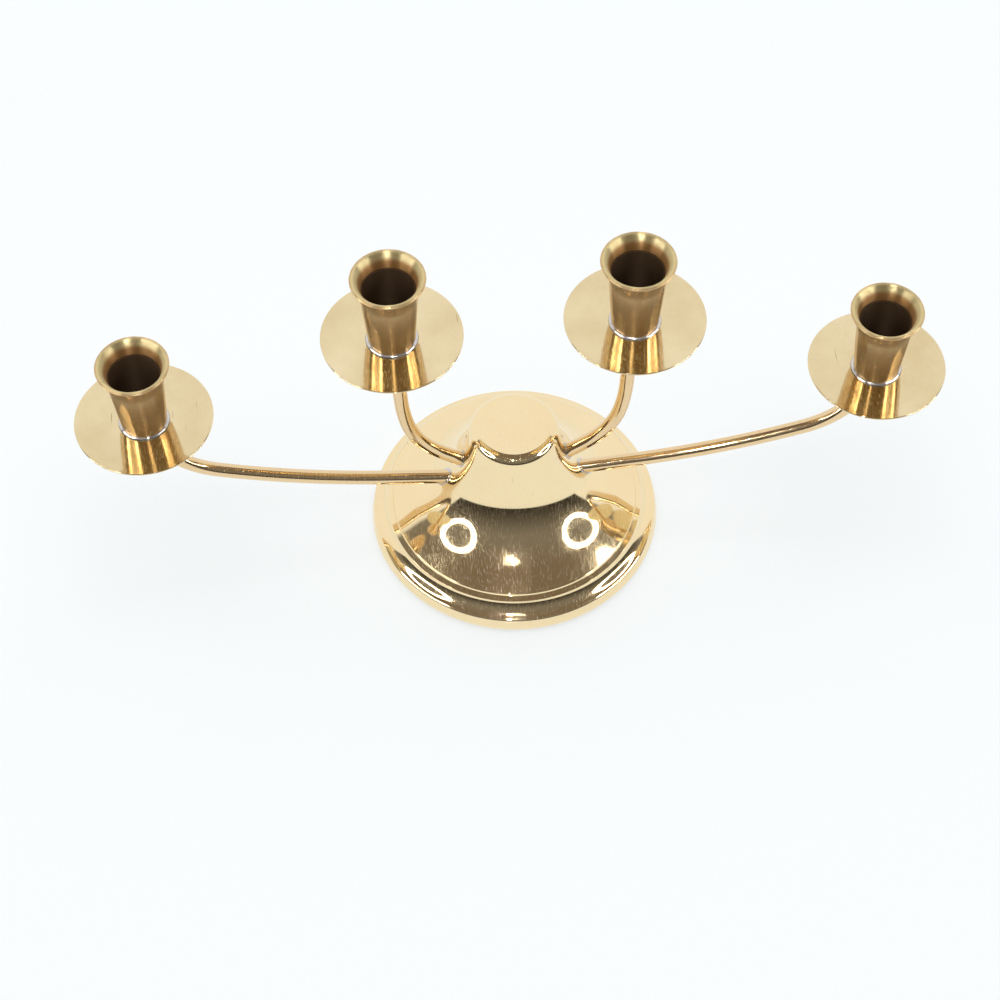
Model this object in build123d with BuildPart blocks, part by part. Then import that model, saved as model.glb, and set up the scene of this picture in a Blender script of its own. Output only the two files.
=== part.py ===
"""Four-light brass candelabrum for the table.

A spun bell base carries four bent round arms in one upright plane. Each arm ends in a shallow drip pan
and a candle cup with a trumpet mouth. All joints are soldered, so nothing moves.

Millimetres. The origin is the centre of the foot on the table, +X runs along the row of lights, +Z is up.
"""
import os
from collections import namedtuple
from math import cos, radians, sin

from build123d import *

# Base shell, spun from sheet: outer radii and the heights that go with them
BASE_RADIUS = 62.5
SHELL_WALL = 1.0
FOOT_RADIUS = 61.7
FOOT_HEIGHT = 0.4
FOOT_BULGE_HEIGHT = 2.8
SHOULDER_CORNER = (61.35, 7.2)
SHOULDER_ROUNDING = 1.6
COVE_CORNER = (56.1, 10.6)
COVE_RADIUS = 7.2
LEDGE_OUTER_EDGE = (55.2, 12.6)
LEDGE_INNER_EDGE = (53.0, 13.5)
FLARE_EDGE = (52.7, 14.3)
FLARE_CORNER = (24.1, 28.3)
FLARE_RADIUS = 44.2
BOSS_RADIUS = 18.4
BOSS_HEIGHT = 62.8
BOSS_EDGE_ROUNDING = 4.6
STEP_ROUNDING = 0.5

# Arms, bent from round rod
ARM_RADIUS = 3.0
ARM_HOLE_CLEARANCE = 0.1
ARM_HOLE_LENGTH = 22.0
ARM_TIP_LENGTH = 1.5
ARM_TIP_BEND = 12.0
UPRIGHT = 90.0

# Drip pans, discs that rise a little to the edge
PAN_RADIUS = 28.3
PAN_THICKNESS = 0.8
PAN_FLAT_RADIUS = 10.8
PAN_DISH = 1.6
PAN_EDGE_ROUNDING = 0.35

# Candle cups, heights above the pan's floor
CUP_HEIGHT = 36.0
CUP_FOOT_RADIUS = 9.4
CUP_WAIST_RADIUS = 11.2
CUP_WAIST_HEIGHT = 25.0
CUP_MOUTH_RADIUS = 14.8
CUP_LIP_DEPTH = 0.9
CUP_LIP_WIDTH = 1.4
CUP_FLARE_BOTTOM = 29.4
CUP_LEDGE_RADIUS = 10.6
CANDLE_BORE_RADIUS = 10.1
CANDLE_BORE_BOTTOM = 19.8
CUP_FLOOR_RADIUS = 8.7
CUP_FLOOR = 1.2

# Solder
CUP_SOLDER_WIDTH = 1.1
CUP_SOLDER_RISE = 1.1
ARM_SOLDER_WIDTH = 0.7
ARM_SOLDER_RISE = 0.5
FLOOR_SOLDER_RADIUS = 6.0
FLOOR_SOLDER_RISE = 2.4
ARM_END_RISE = 1.0

# Inside the base
HUB_BOTTOM = 24.5
HUB_FOOT_RADIUS = 21.0
HUB_OUTER_SOCKET_HEIGHT = 31.0
HUB_INNER_SOCKET = (19.0, 42.0)
HUB_NECK = (12.0, 49.0)
HUB_CROWN = (9.0, 52.0)
HUB_THREAD_TOP = 37.0
BALLAST_RADIUS = 54.0
BALLAST_SIDE_HEIGHT = 5.0
BALLAST_SHOULDER = (46.0, 9.5)
BALLAST_TOP_RADIUS = 21.0
BOLT_RADIUS = 3.0
BOLT_CLEARANCE = 0.3
BOLT_TIP = 36.0
BOLT_HEAD_HEIGHT = 4.0
BOLT_HEAD_FLATS = 10.0
BOLT_HEAD_SIDES = 6
WASHER_RADIUS = 8.0
WASHER_THICKNESS = 1.5
COUNTERBORE_RADIUS = 9.0
COUNTERBORE_CEILING = 8.5

# Felt disc under the base, which stands a little proud of the brass
FELT_RADIUS = 60.4
FELT_THICKNESS = 2.0

# An arm leaves the hub straight, takes a bow and a bend, then runs straight up to its cup. It is bent by
# hand, so the two outer arms differ a little in reach and the stems lean a few degrees.
Arm = namedtuple(
    "Arm",
    "reach pan_rim root_radius root_height root_angle bow_radius bow_angle bend_radius stem_angle",
)
OUTER_LEFT_ARM = Arm(151.0, 86.9, 14.0, 28.5, 5.6, 334.0, 18.0, 38.0, 86.6)
OUTER_RIGHT_ARM = OUTER_LEFT_ARM._replace(reach=150.0)
INNER_ARM = Arm(48.1, 128.3, 15.5, 36.7, 36.8, 37.3, 78.7, 99.7, 87.5)
LEFT = -1
RIGHT = 1
LIGHTS = {
    "outer_left": (LEFT, OUTER_LEFT_ARM),
    "inner_left": (LEFT, INNER_ARM),
    "inner_right": (RIGHT, INNER_ARM),
    "outer_right": (RIGHT, OUTER_RIGHT_ARM),
}


def heading(side, angle):
    """Direction in the plane of the arms, at an angle above the table, out towards one side."""
    return side * cos(radians(angle)), sin(radians(angle))


def arc_run(radius, start, end):
    """Distances out and up that an arm covers in a bend from one angle to another."""
    start, end = radians(start), radians(end)
    return radius * (sin(end) - sin(start)), radius * (cos(start) - cos(end))


def straight_lengths(arm):
    """Lengths of an arm's straight root and straight stem, which take up what its bends leave."""
    bends = [
        arc_run(arm.bow_radius, arm.root_angle, arm.bow_angle),
        arc_run(arm.bend_radius, arm.bow_angle, arm.stem_angle),
        arc_run(ARM_TIP_BEND, arm.stem_angle, UPRIGHT),
    ]
    out = arm.reach - arm.root_radius - sum(run for run, _ in bends)
    up = pan_floor(arm) - ARM_TIP_LENGTH - arm.root_height - sum(rise for _, rise in bends)
    root, stem = radians(arm.root_angle), radians(arm.stem_angle)
    root_length = (out * sin(stem) - up * cos(stem)) / sin(stem - root)
    stem_length = (up * cos(root) - out * sin(root)) / sin(stem - root)
    return root_length, stem_length


def pan_floor(arm):
    """Height of the top of a drip pan's floor, where its cup stands."""
    return arm.pan_rim - PAN_DISH


def root_plane(side, arm):
    """Plane at an arm's inner end, facing out along the arm."""
    along, up = heading(side, arm.root_angle)
    return Plane((side * arm.root_radius, 0, arm.root_height), x_dir=(0, 1, 0), z_dir=(along, 0, up))


def light_plane(side, arm):
    """Upright plane through a light's axis, with its origin on the floor of the drip pan."""
    return Plane((side * arm.reach, 0, pan_floor(arm)), x_dir=(1, 0, 0), z_dir=(0, -1, 0))


def corner(sketch, point):
    """Corner of a section nearest to a point given by its radius and height."""
    return sketch.vertices().sort_by_distance((point[0], point[1], 0))[0]


def save(builder, name):
    """Label a finished piece and write it under its own name."""
    builder.part.label = name
    export_step(builder.part, f"parts/{name}.step")


os.makedirs("parts", exist_ok=True)

# Bell body: the outside of the base as a full solid
with BuildPart() as bell:
    with BuildSketch(Plane.XZ) as bell_section:
        with BuildLine():
            Polyline((0, BOSS_HEIGHT), (0, FOOT_HEIGHT), (FOOT_RADIUS, FOOT_HEIGHT))
            Polyline((FOOT_RADIUS, FOOT_HEIGHT), (BASE_RADIUS, FOOT_BULGE_HEIGHT), SHOULDER_CORNER, COVE_CORNER)
            Polyline(COVE_CORNER, LEDGE_OUTER_EDGE, LEDGE_INNER_EDGE, FLARE_EDGE, FLARE_CORNER)
            Polyline(FLARE_CORNER, (BOSS_RADIUS, BOSS_HEIGHT), (0, BOSS_HEIGHT))
        make_face()
        fillet(corner(bell_section, (BOSS_RADIUS, BOSS_HEIGHT)), BOSS_EDGE_ROUNDING)
        fillet(corner(bell_section, FLARE_CORNER), FLARE_RADIUS)
        fillet(corner(bell_section, FLARE_EDGE), STEP_ROUNDING)
        fillet(corner(bell_section, COVE_CORNER), COVE_RADIUS)
        fillet(corner(bell_section, SHOULDER_CORNER), SHOULDER_ROUNDING)
    revolve(axis=Axis.Z)

# Solder skin: the bell grown by as much as the solder at the arms stands proud of it
with BuildPart() as solder_skin:
    add(bell.part)
    offset(amount=ARM_SOLDER_RISE)

# Base shell: the bell hollowed from below, with a hole for each arm
with BuildPart() as base_shell:
    add(bell.part)
    offset(amount=-SHELL_WALL, openings=base_shell.faces().sort_by(Axis.Z)[0])
    for side, arm in LIGHTS.values():
        with BuildSketch(root_plane(side, arm)):
            Circle(ARM_RADIUS + ARM_HOLE_CLEARANCE)
        extrude(amount=ARM_HOLE_LENGTH, mode=Mode.SUBTRACT)
save(base_shell, "base_shell")

# Arm hub: turned block inside the boss, with a blind socket for each arm and a thread for the bolt
with BuildPart() as arm_hub:
    with BuildSketch(Plane.XZ):
        with BuildLine():
            crown_height = BOSS_HEIGHT - SHELL_WALL
            Polyline(
                (0, HUB_BOTTOM),
                (HUB_FOOT_RADIUS, HUB_BOTTOM),
                (HUB_FOOT_RADIUS, HUB_OUTER_SOCKET_HEIGHT),
                HUB_INNER_SOCKET,
                HUB_NECK,
                HUB_CROWN,
                (HUB_CROWN[0], crown_height),
                (0, crown_height),
                close=True,
            )
        make_face()
    revolve(axis=Axis.Z)
    for side, arm in LIGHTS.values():
        with BuildSketch(root_plane(side, arm)):
            Circle(ARM_RADIUS)
        extrude(amount=ARM_HOLE_LENGTH, mode=Mode.SUBTRACT)
    with BuildSketch(Plane.XY.offset(HUB_BOTTOM)):
        Circle(BOLT_RADIUS)
    extrude(amount=HUB_THREAD_TOP - HUB_BOTTOM, mode=Mode.SUBTRACT)
save(arm_hub, "arm_hub")

# Ballast: cast-iron weight under the hub, counterbored for the bolt's head
with BuildPart() as ballast:
    with BuildSketch(Plane.XZ):
        with BuildLine():
            Polyline(
                (0, FELT_THICKNESS),
                (BALLAST_RADIUS, FELT_THICKNESS),
                (BALLAST_RADIUS, BALLAST_SIDE_HEIGHT),
                BALLAST_SHOULDER,
                (BALLAST_TOP_RADIUS, HUB_BOTTOM),
                (0, HUB_BOTTOM),
                close=True,
            )
        make_face()
    revolve(axis=Axis.Z)
    with BuildSketch(Plane.XY.offset(FELT_THICKNESS)):
        Circle(COUNTERBORE_RADIUS)
    extrude(amount=COUNTERBORE_CEILING - FELT_THICKNESS, mode=Mode.SUBTRACT)
    with BuildSketch(Plane.XY.offset(COUNTERBORE_CEILING)):
        Circle(BOLT_RADIUS + BOLT_CLEARANCE)
    extrude(amount=HUB_BOTTOM - COUNTERBORE_CEILING, mode=Mode.SUBTRACT)
save(ballast, "ballast")

# Washer and hexagon bolt, drawn up into the hub
washer_bottom = COUNTERBORE_CEILING - WASHER_THICKNESS
with BuildPart() as bolt_washer:
    with BuildSketch(Plane.XY.offset(washer_bottom)):
        Circle(WASHER_RADIUS)
        Circle(BOLT_RADIUS + BOLT_CLEARANCE, mode=Mode.SUBTRACT)
    extrude(amount=WASHER_THICKNESS)
save(bolt_washer, "bolt_washer")

with BuildPart() as base_bolt:
    with BuildSketch(Plane.XY.offset(washer_bottom - BOLT_HEAD_HEIGHT)):
        RegularPolygon(BOLT_HEAD_FLATS / 2, BOLT_HEAD_SIDES, major_radius=False)
    extrude(amount=BOLT_HEAD_HEIGHT)
    with BuildSketch(Plane.XY.offset(washer_bottom)):
        Circle(BOLT_RADIUS)
    extrude(amount=BOLT_TIP - washer_bottom)
save(base_bolt, "base_bolt")

# Felt pad: a cut disc
with BuildPart() as felt_pad:
    with BuildSketch(Plane.XY):
        Circle(FELT_RADIUS)
    extrude(amount=FELT_THICKNESS)
save(felt_pad, "felt_pad")

for name, (side, arm) in LIGHTS.items():
    floor = pan_floor(arm)
    section = light_plane(side, arm)
    spindle = Axis((side * arm.reach, 0, floor), (0, 0, 1))

    # Arm: straight root, bow, bend and stem, with an upright tip through the pan and the cup's floor
    root_length, stem_length = straight_lengths(arm)
    root_end = (side * arm.root_radius, arm.root_height)
    with BuildPart() as rod:
        with BuildLine(Plane.XZ) as rod_path:
            root = PolarLine(root_end, root_length, direction=heading(side, arm.root_angle))
            bow = JernArc(root @ 1, root % 1, arm.bow_radius, side * (arm.bow_angle - arm.root_angle))
            bend = JernArc(bow @ 1, bow % 1, arm.bend_radius, side * (arm.stem_angle - arm.bow_angle))
            stem = PolarLine(bend @ 1, stem_length, direction=heading(side, arm.stem_angle))
            straightening = JernArc(stem @ 1, stem % 1, ARM_TIP_BEND, side * (UPRIGHT - arm.stem_angle))
            Line(straightening @ 1, (side * arm.reach, floor + CUP_FLOOR + ARM_END_RISE))
        with BuildSketch(root_plane(side, arm)):
            Circle(ARM_RADIUS)
        sweep(path=rod_path.line)
    save(rod, f"arm_{name}")

    # Drip pan: flat floor, low slope up to a rounded edge, and a hole for the arm
    with BuildPart() as drip_pan:
        with BuildSketch(section) as pan_section:
            with BuildLine():
                Polyline(
                    (ARM_RADIUS, 0),
                    (ARM_RADIUS, -PAN_THICKNESS),
                    (PAN_FLAT_RADIUS, -PAN_THICKNESS),
                    (PAN_RADIUS, PAN_DISH - PAN_THICKNESS),
                    (PAN_RADIUS, PAN_DISH),
                    (PAN_FLAT_RADIUS, 0),
                    close=True,
                )
            make_face()
            fillet(corner(pan_section, (PAN_RADIUS, PAN_DISH - PAN_THICKNESS)), PAN_EDGE_ROUNDING)
            fillet(corner(pan_section, (PAN_RADIUS, PAN_DISH)), PAN_EDGE_ROUNDING)
        revolve(axis=spindle)
    save(drip_pan, f"drip_pan_{name}")

    # Candle cup: tapered wall, trumpet mouth with a flat lip, a ledge and a straight bore for the candle
    lip_bottom = CUP_HEIGHT - CUP_LIP_DEPTH
    lip_inner = CUP_MOUTH_RADIUS - CUP_LIP_WIDTH
    waist = (CUP_WAIST_RADIUS, CUP_WAIST_HEIGHT)
    taper = (CUP_WAIST_RADIUS - CUP_FOOT_RADIUS, CUP_WAIST_HEIGHT)
    with BuildPart() as candle_cup:
        with BuildSketch(section):
            with BuildLine():
                Line((ARM_RADIUS, 0), (CUP_FOOT_RADIUS, 0))
                Line((CUP_FOOT_RADIUS, 0), waist)
                TangentArc(waist, (CUP_MOUTH_RADIUS, lip_bottom), tangent=taper)
                Line((CUP_MOUTH_RADIUS, lip_bottom), (CUP_MOUTH_RADIUS, CUP_HEIGHT))
                Line((CUP_MOUTH_RADIUS, CUP_HEIGHT), (lip_inner, CUP_HEIGHT))
                TangentArc((CUP_LEDGE_RADIUS, CUP_FLARE_BOTTOM), (lip_inner, CUP_HEIGHT), tangent=taper)
                Polyline(
                    (CUP_LEDGE_RADIUS, CUP_FLARE_BOTTOM),
                    (CANDLE_BORE_RADIUS, CUP_FLARE_BOTTOM),
                    (CANDLE_BORE_RADIUS, CANDLE_BORE_BOTTOM),
                    (CUP_FLOOR_RADIUS, CUP_FLOOR),
                    (ARM_RADIUS, CUP_FLOOR),
                    (ARM_RADIUS, 0),
                )
            make_face()
        revolve(axis=spindle)
    save(candle_cup, f"candle_cup_{name}")

    # Solder round the foot of the cup: a rounded bead that meets the cup's wall and the pan's floor
    solder_top = CUP_FOOT_RADIUS + CUP_SOLDER_RISE * taper[0] / taper[1]
    with BuildPart() as cup_solder:
        with BuildSketch(section):
            with BuildLine():
                bead_foot = (CUP_FOOT_RADIUS + CUP_SOLDER_WIDTH, 0)
                Line((solder_top, CUP_SOLDER_RISE), (CUP_FOOT_RADIUS, 0))
                Line((CUP_FOOT_RADIUS, 0), bead_foot)
                TangentArc(bead_foot, (solder_top, CUP_SOLDER_RISE), tangent=(0, 1))
            make_face()
        revolve(axis=spindle)
    save(cup_solder, f"cup_solder_{name}")

    # Solder in the floor of the cup: a low mound over the arm's end
    with BuildPart() as floor_solder:
        with BuildSketch(section):
            with BuildLine():
                arm_end = CUP_FLOOR + ARM_END_RISE
                mound_top = CUP_FLOOR + FLOOR_SOLDER_RISE
                Polyline((0, mound_top), (0, arm_end), (ARM_RADIUS, arm_end), (ARM_RADIUS, CUP_FLOOR))
                Line((ARM_RADIUS, CUP_FLOOR), (FLOOR_SOLDER_RADIUS, CUP_FLOOR))
                TangentArc((0, mound_top), (FLOOR_SOLDER_RADIUS, CUP_FLOOR), tangent=(1, 0))
            make_face()
        revolve(axis=spindle)
    save(floor_solder, f"floor_solder_{name}")

    # Solder at the base: a thin collar round the arm, which follows the flare that it lies on
    with BuildPart() as arm_solder:
        with BuildSketch(root_plane(side, arm)):
            Circle(ARM_RADIUS + ARM_SOLDER_WIDTH)
            Circle(ARM_RADIUS, mode=Mode.SUBTRACT)
        extrude(amount=ARM_HOLE_LENGTH)
        add(solder_skin.part, mode=Mode.INTERSECT)
        add(bell.part, mode=Mode.SUBTRACT)
    save(arm_solder, f"arm_solder_{name}")
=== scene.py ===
"""Dresses the four-light brass candelabrum: spun base, bent arms, drip pans and candle cups.

The outlines are drawn in millimetres and turned into meshes in metres, in the frame's own place.
"""
from collections import namedtuple
from math import ceil, cos, degrees, pi, radians, sin, tan

import bmesh
import bpy
from mathutils import Matrix, Vector, noise


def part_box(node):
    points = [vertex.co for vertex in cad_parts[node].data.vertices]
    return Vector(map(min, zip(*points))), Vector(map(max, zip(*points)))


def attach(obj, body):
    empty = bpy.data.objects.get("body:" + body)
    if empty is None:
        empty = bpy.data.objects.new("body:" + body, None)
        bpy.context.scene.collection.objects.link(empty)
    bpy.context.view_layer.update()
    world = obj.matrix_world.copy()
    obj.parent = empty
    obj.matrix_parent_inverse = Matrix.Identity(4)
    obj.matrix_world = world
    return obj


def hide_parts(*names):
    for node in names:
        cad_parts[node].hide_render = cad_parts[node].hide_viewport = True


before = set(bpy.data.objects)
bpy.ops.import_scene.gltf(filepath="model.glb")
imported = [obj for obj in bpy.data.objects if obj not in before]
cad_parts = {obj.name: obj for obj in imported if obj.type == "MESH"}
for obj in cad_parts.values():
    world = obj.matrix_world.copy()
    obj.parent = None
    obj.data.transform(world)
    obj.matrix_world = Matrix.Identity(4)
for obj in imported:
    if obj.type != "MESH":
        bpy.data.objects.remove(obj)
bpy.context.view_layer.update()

MM = 0.001
Span = namedtuple("Span", "middle radius bottom top")

# Smoothness of the turned and bent forms
TURNED_STEPS = 224
ROD_SEGMENTS = 48
ARC_STEP = 0.8
ARC_STEP_ANGLE = 4.0
CORNER_SEGMENTS = 5
SHARP_ANGLE = 32.0
MERGE_DISTANCE = 0.0005
UPRIGHT = 90.0

# Base shell: points of its outline are radius and height
SHELL_WALL = 1.0
BOSS_EDGE = Vector((18.4, 62.8))
BOSS_EDGE_ROUNDING = 4.6
FLARE_CORNER = Vector((24.1, 28.3))
FLARE_RADIUS = 44.2
FLARE_EDGE = Vector((52.7, 14.3))
STEP_ROUNDING = 0.5
LEDGE_INNER = Vector((53.0, 13.5))
LEDGE_OUTER = Vector((55.2, 12.6))
LEDGE_ROUNDING = 0.15
COVE_HEADING = Vector((0.9, -2.0))
COVE_FOOT = Vector((60.2, 7.6))
SHOULDER_CORNER = Vector((61.35, 7.2))
SHOULDER_ROUNDING = 1.6
FOOT_BULGE = Vector((62.5, 2.8))
FOOT_ROUNDING = 1.0
FOOT_EDGE = Vector((61.7, 0.4))

# Arms
ARM_RADIUS = 3.0
ARM_TIP_LENGTH = 1.5
ARM_TIP_BEND = 12.0
ARM_END_RISE = 1.0
Arm = namedtuple("Arm", "root_radius root_height root_angle bow_radius bow_angle bend_radius stem_angle")
OUTER_ARM = Arm(14.0, 28.5, 5.6, 334.0, 18.0, 38.0, 86.6)
INNER_ARM = Arm(15.5, 36.7, 36.8, 37.3, 78.7, 99.7, 87.5)
ARMS = {
    "outer_left": OUTER_ARM,
    "inner_left": INNER_ARM,
    "inner_right": INNER_ARM,
    "outer_right": OUTER_ARM,
}

# Drip pans
PAN_THICKNESS = 0.8
PAN_FLAT_RADIUS = 10.8
PAN_DISH = 1.6
PAN_EDGE_ROUNDING = 0.3
PAN_FLOOR_ROUNDING = 3.0

# Candle cups, heights from the pan's floor
CUP_FOOT_RADIUS = 9.4
CUP_WAIST = Vector((11.2, 25.0))
CUP_LIP_DEPTH = 0.9
CUP_LIP_WIDTH = 1.4
CUP_FLARE_BOTTOM = Vector((10.6, 29.4))
CANDLE_BORE_RADIUS = 10.1
CANDLE_BORE_BOTTOM = 19.8
CUP_FLOOR_RADIUS = 8.7
CUP_FLOOR = 1.2
CUP_EDGE_ROUNDING = 0.4

# Solder
CUP_SOLDER_WIDTH = 1.1
CUP_SOLDER_RISE = 1.1
FLOOR_SOLDER_RADIUS = 6.0
FLOOR_SOLDER_RISE = 2.4
SOLDER_LUMP = 0.12
SOLDER_LUMP_SIZE = 3.0
SOLDER_LUMP_SEED = 7

# Felt under the base
FELT_EDGE_ROUNDING = 0.4
FELT_EDGE_SEGMENTS = 4

# Marks on polished brass, as turn, width and length: hairlines from buffing are a hundredth of a millimetre
# wide and old scratches a tenth, and both are drawn coarser so that they show
HAIRLINE_TURN = (0.3, 0.5, 0.6)
HAIRLINE_CROSS_TURN = (0.4, -0.8, 2.3)
HAIRLINE_SIZE = (0.08, 4.0)
HAIRLINE_FAINT = 0.6
HAIRLINE_FULL = 0.8
HAIRLINE_ROUGHNESS = 0.5
HAIRLINE_BUMP = 0.01
HAIRLINE_DEPTH = 0.2
SCRATCH_TURN = (0.2, 0.1, 0.9)
SCRATCH_SIZE = (0.6, 14.0)
SCRATCH_FAINT = 0.74
SCRATCH_FULL = 0.8
SCRATCH_BROWN = "#6E5230"
HAZE_PATCH = 25.0

# Tarnish on the cups, and painted shade down inside them, heights from the pan's floor: the wall outside
# has blotches 3 mm wide and 6 mm long
BLOTCH_SIZE = (3.0, 3.0, 6.0)
BLOTCH_FAINT = 0.35
BLOTCH_FULL = 0.65
BLOTCH_BUMP = 0.02
BLOTCH_DEPTH = 0.2
WALL_CLEAN = "#E6CA98"
WALL_TARNISHED = "#D2AE7A"
WALL_CLEAN_ROUGHNESS = 0.18
WALL_TARNISHED_ROUGHNESS = 0.24
LIP_DULL_STARTS = 34.6
LIP_DULL_FULL = 35.4
LIP_ROUGHNESS = 0.45
MOUTH_GOLD = "#E2D09C"
MOUTH_ENDS = 34.4
MOUTH_ROUGHNESS = 0.42
# The throat and the bore are painted darker with depth down inside the cup: painted shade
THROAT_BRONZE_HALF_SHADE = "#B08450"
THROAT_STARTS = 32.8
THROAT_ENDS = 30.0
BORE_PAINTED_SHADE = "#4E3922"
BORE_STARTS = 29.5
BORE_ROUGHNESS = 0.9
# Less of the surface is metal down inside the cup, where the shade is painted
CLEAN_METAL_SHARE = 0.86
DOWN_INSIDE_METAL_SHARE = 0.6
TURNED_ANISOTROPY = 0.95
TURNED_GLOSS_ROTATION = 0.25

# Solder's skin, heights from the pan's floor
SOLDER_BRIGHT = "#E2DFDF"
SOLDER_DULL = "#C4C0C0"
SOLDER_GRAIN = 1.2
SOLDER_DENT = 0.04
BEAD_ROUGHNESS = 0.2
FLUX_BROWN = "#3E3128"
FLUX_PATCH = 6.0
FLUX_FAINT = 0.4
FLUX_FULL = 0.55
FLUX_TOP = 0.6
FLUX_BOTTOM = 0.1
FLUX_METAL_SHARE = 0.3
FLUX_ROUGHNESS = 0.5

# Grain of plain metals
GRAIN_BUMP = 0.3
GRAIN_ROUGHNESS_SPREAD = 0.08

# Felt: its wool fibres are 0.03 mm thick, and their tangle is drawn 0.6 mm wide so that it shows
FELT_TANGLE = 0.6
FELT_BUMP = 0.6
FELT_NAP = 0.3
FELT_DARK = "#2B4A36"
FELT_LIGHT = "#3E6049"

# Sockets of a Mix node, which has several of one name
COLOUR_A = 6
COLOUR_B = 7
COLOUR_OUT = 2
NUMBER_A = 2
NUMBER_B = 3

# Studio, in metres
FLOOR_SIZE = 8.0
FLOOR_PAPER = "#F1F7F9"
FLOOR_WHITE = "#FBFEFF"
FLOOR_WHITE_SEEN = 0.66
FLOOR_WHITE_MIRRORED = 0.92
LAMP_WHITE = "#FFFFFF"
LAMP_SEGMENTS = 64
RING_LAMPS = {"left": Vector((-0.758, -0.256, 0.600)), "right": Vector((0.781, -0.244, 0.575))}
RING_LAMP_DISTANCE = 0.8
RING_LAMP_RADIUS = 0.224
RING_LAMP_BAND = 0.056
RING_LAMP_STRENGTH = 12.0
SPOT_LAMP_AIM = Vector((-0.088, -0.560, 0.824))
SPOT_LAMP_DISTANCE = 0.95
SPOT_LAMP_RADIUS = 0.012
SPOT_LAMP_STRENGTH = 1800.0
SOFT_LAMP_SIZE = 3.2
SOFT_LAMP_HEIGHT = 2.8
SOFT_LAMP_POWER = 74.0
CAMERA_PLACE = Vector((-0.047995, -0.552946, 0.810277))
CAMERA_AIM = Vector((0.04276, 0.56748, -0.82228))
CAMERA_RIGHT = Vector((0.99624, -0.08626, -0.00772))
CAMERA_LENS = 80.14
SENSOR_WIDTH = 36.0

# Room round the table, heights as the upward part of a direction
BACKDROP_WHITE = "#FFFFFF"
BACKDROP_SLOPE = 0.5
BACKDROP_EDGE_SOFTNESS = 0.02
ROOM_SKIRTING = "#2E2A26"
ROOM_WALLS = "#827F7B"
ROOM_WALLS_FULL = 0.5
ROOM_CEILING = "#7C7064"
ROOM_CEILING_STARTS = 0.6
ROOM_CEILING_FULL = 0.95


# Outlines: a pen draws runs and bends in the XZ plane, radius across and height up


def start_outline(point):
    """A new mesh with the pen at the first point of an outline."""
    outline = bmesh.new()
    return outline, outline.verts.new((point[0], 0, point[1]))


def run_to(outline, pen, point):
    """Straight run of the pen to a point."""
    made = bmesh.ops.extrude_vert_indiv(outline, verts=[pen])["verts"][0]
    made.co = (point[0], 0, point[1])
    return made


def bend_to(outline, pen, centre, point):
    """Round bend of the pen about a centre, to a point."""
    start = pen.co.xz - centre
    angle = start.angle_signed(Vector(point) - centre)
    steps = ceil(max(abs(angle) * start.length / ARC_STEP, degrees(abs(angle)) / ARC_STEP_ANGLE))
    turned = bmesh.ops.spin(
        outline, geom=[pen], cent=(centre.x, 0, centre.y), axis=(0, 1, 0), angle=angle, steps=steps
    )
    return turned["geom_last"][0]


def tangent_centre(start, heading, end):
    """Centre of the bend that leaves start along a heading and comes to end."""
    normal = Vector((-heading[1], heading[0])).normalized()
    reach = Vector(end) - start
    return start + normal * reach.length_squared / (2 * normal.dot(reach))


def round_corner(outline, pen, corner, onward, radius):
    """Run of the pen towards a corner, and the bend round it that heads the pen onward."""
    back = (pen.co.xz - corner).normalized()
    ahead = (onward - corner).normalized()
    half = back.angle(ahead) / 2
    reach = radius / tan(half)
    centre = corner + (back + ahead).normalized() * radius / sin(half)
    pen = run_to(outline, pen, corner + back * reach)
    return bend_to(outline, pen, centre, corner + ahead * reach)


def round_corners(outline, corners, rounding):
    """Round some corners of an outline that is drawn already."""
    picked = [min(outline.verts, key=lambda vert: (vert.co.xz - corner).length) for corner in corners]
    bmesh.ops.bevel(
        outline,
        geom=picked,
        offset=rounding,
        segments=CORNER_SEGMENTS,
        profile=0.5,
        affect="VERTICES",
        material=-1,
    )


def turn(outline):
    """Spin an outline into a closed turned form about the upright axis."""
    bmesh.ops.spin(
        outline,
        geom=outline.verts[:] + outline.edges[:],
        cent=(0, 0, 0),
        axis=(0, 0, 1),
        angle=2 * pi,
        steps=TURNED_STEPS,
        use_merge=True,
    )
    bmesh.ops.remove_doubles(outline, verts=outline.verts, dist=MERGE_DISTANCE)
    bmesh.ops.recalc_face_normals(outline, faces=outline.faces)


def note_turning(shape):
    """Note for the finish where each point is on the turned wall, its height, and if it faces inwards."""
    wall = shape.verts.layers.float_vector.new("turned_wall")
    height = shape.verts.layers.float.new("turned_height")
    inside = shape.verts.layers.float.new("turned_inside")
    shape.normal_update()
    for vert in shape.verts:
        out = vert.co.xy.normalized() * CANDLE_BORE_RADIUS
        vert[wall] = (out.x, out.y, vert.co.z)
        vert[height] = vert.co.z
        vert[inside] = 1.0 if vert.normal.xy.dot(vert.co.xy) < 0 else 0.0


def measure(node):
    """Middle from side to side, radius, bottom and top of a CAD node, in millimetres."""
    low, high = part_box(node)
    return Span((low.x + high.x) / 2 / MM, (high.x - low.x) / 2 / MM, low.z / MM, high.z / MM)


def finish_piece(name, shape, finish, node, place=(0, 0, 0)):
    """Put a shape drawn in millimetres into the frame as a smooth piece in place of its node."""
    bmesh.ops.translate(shape, vec=place, verts=shape.verts)
    bmesh.ops.scale(shape, vec=(MM, MM, MM), verts=shape.verts)
    mesh = bpy.data.meshes.new(name)
    shape.to_mesh(mesh)
    shape.free()
    mesh.shade_smooth()
    mesh.set_sharp_from_angle(angle=radians(SHARP_ANGLE))
    mesh.materials.append(finish)
    piece = bpy.data.objects.new(name, mesh)
    bpy.context.scene.collection.objects.link(piece)
    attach(piece, "root")
    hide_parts(node)
    return piece


# Materials


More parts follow.
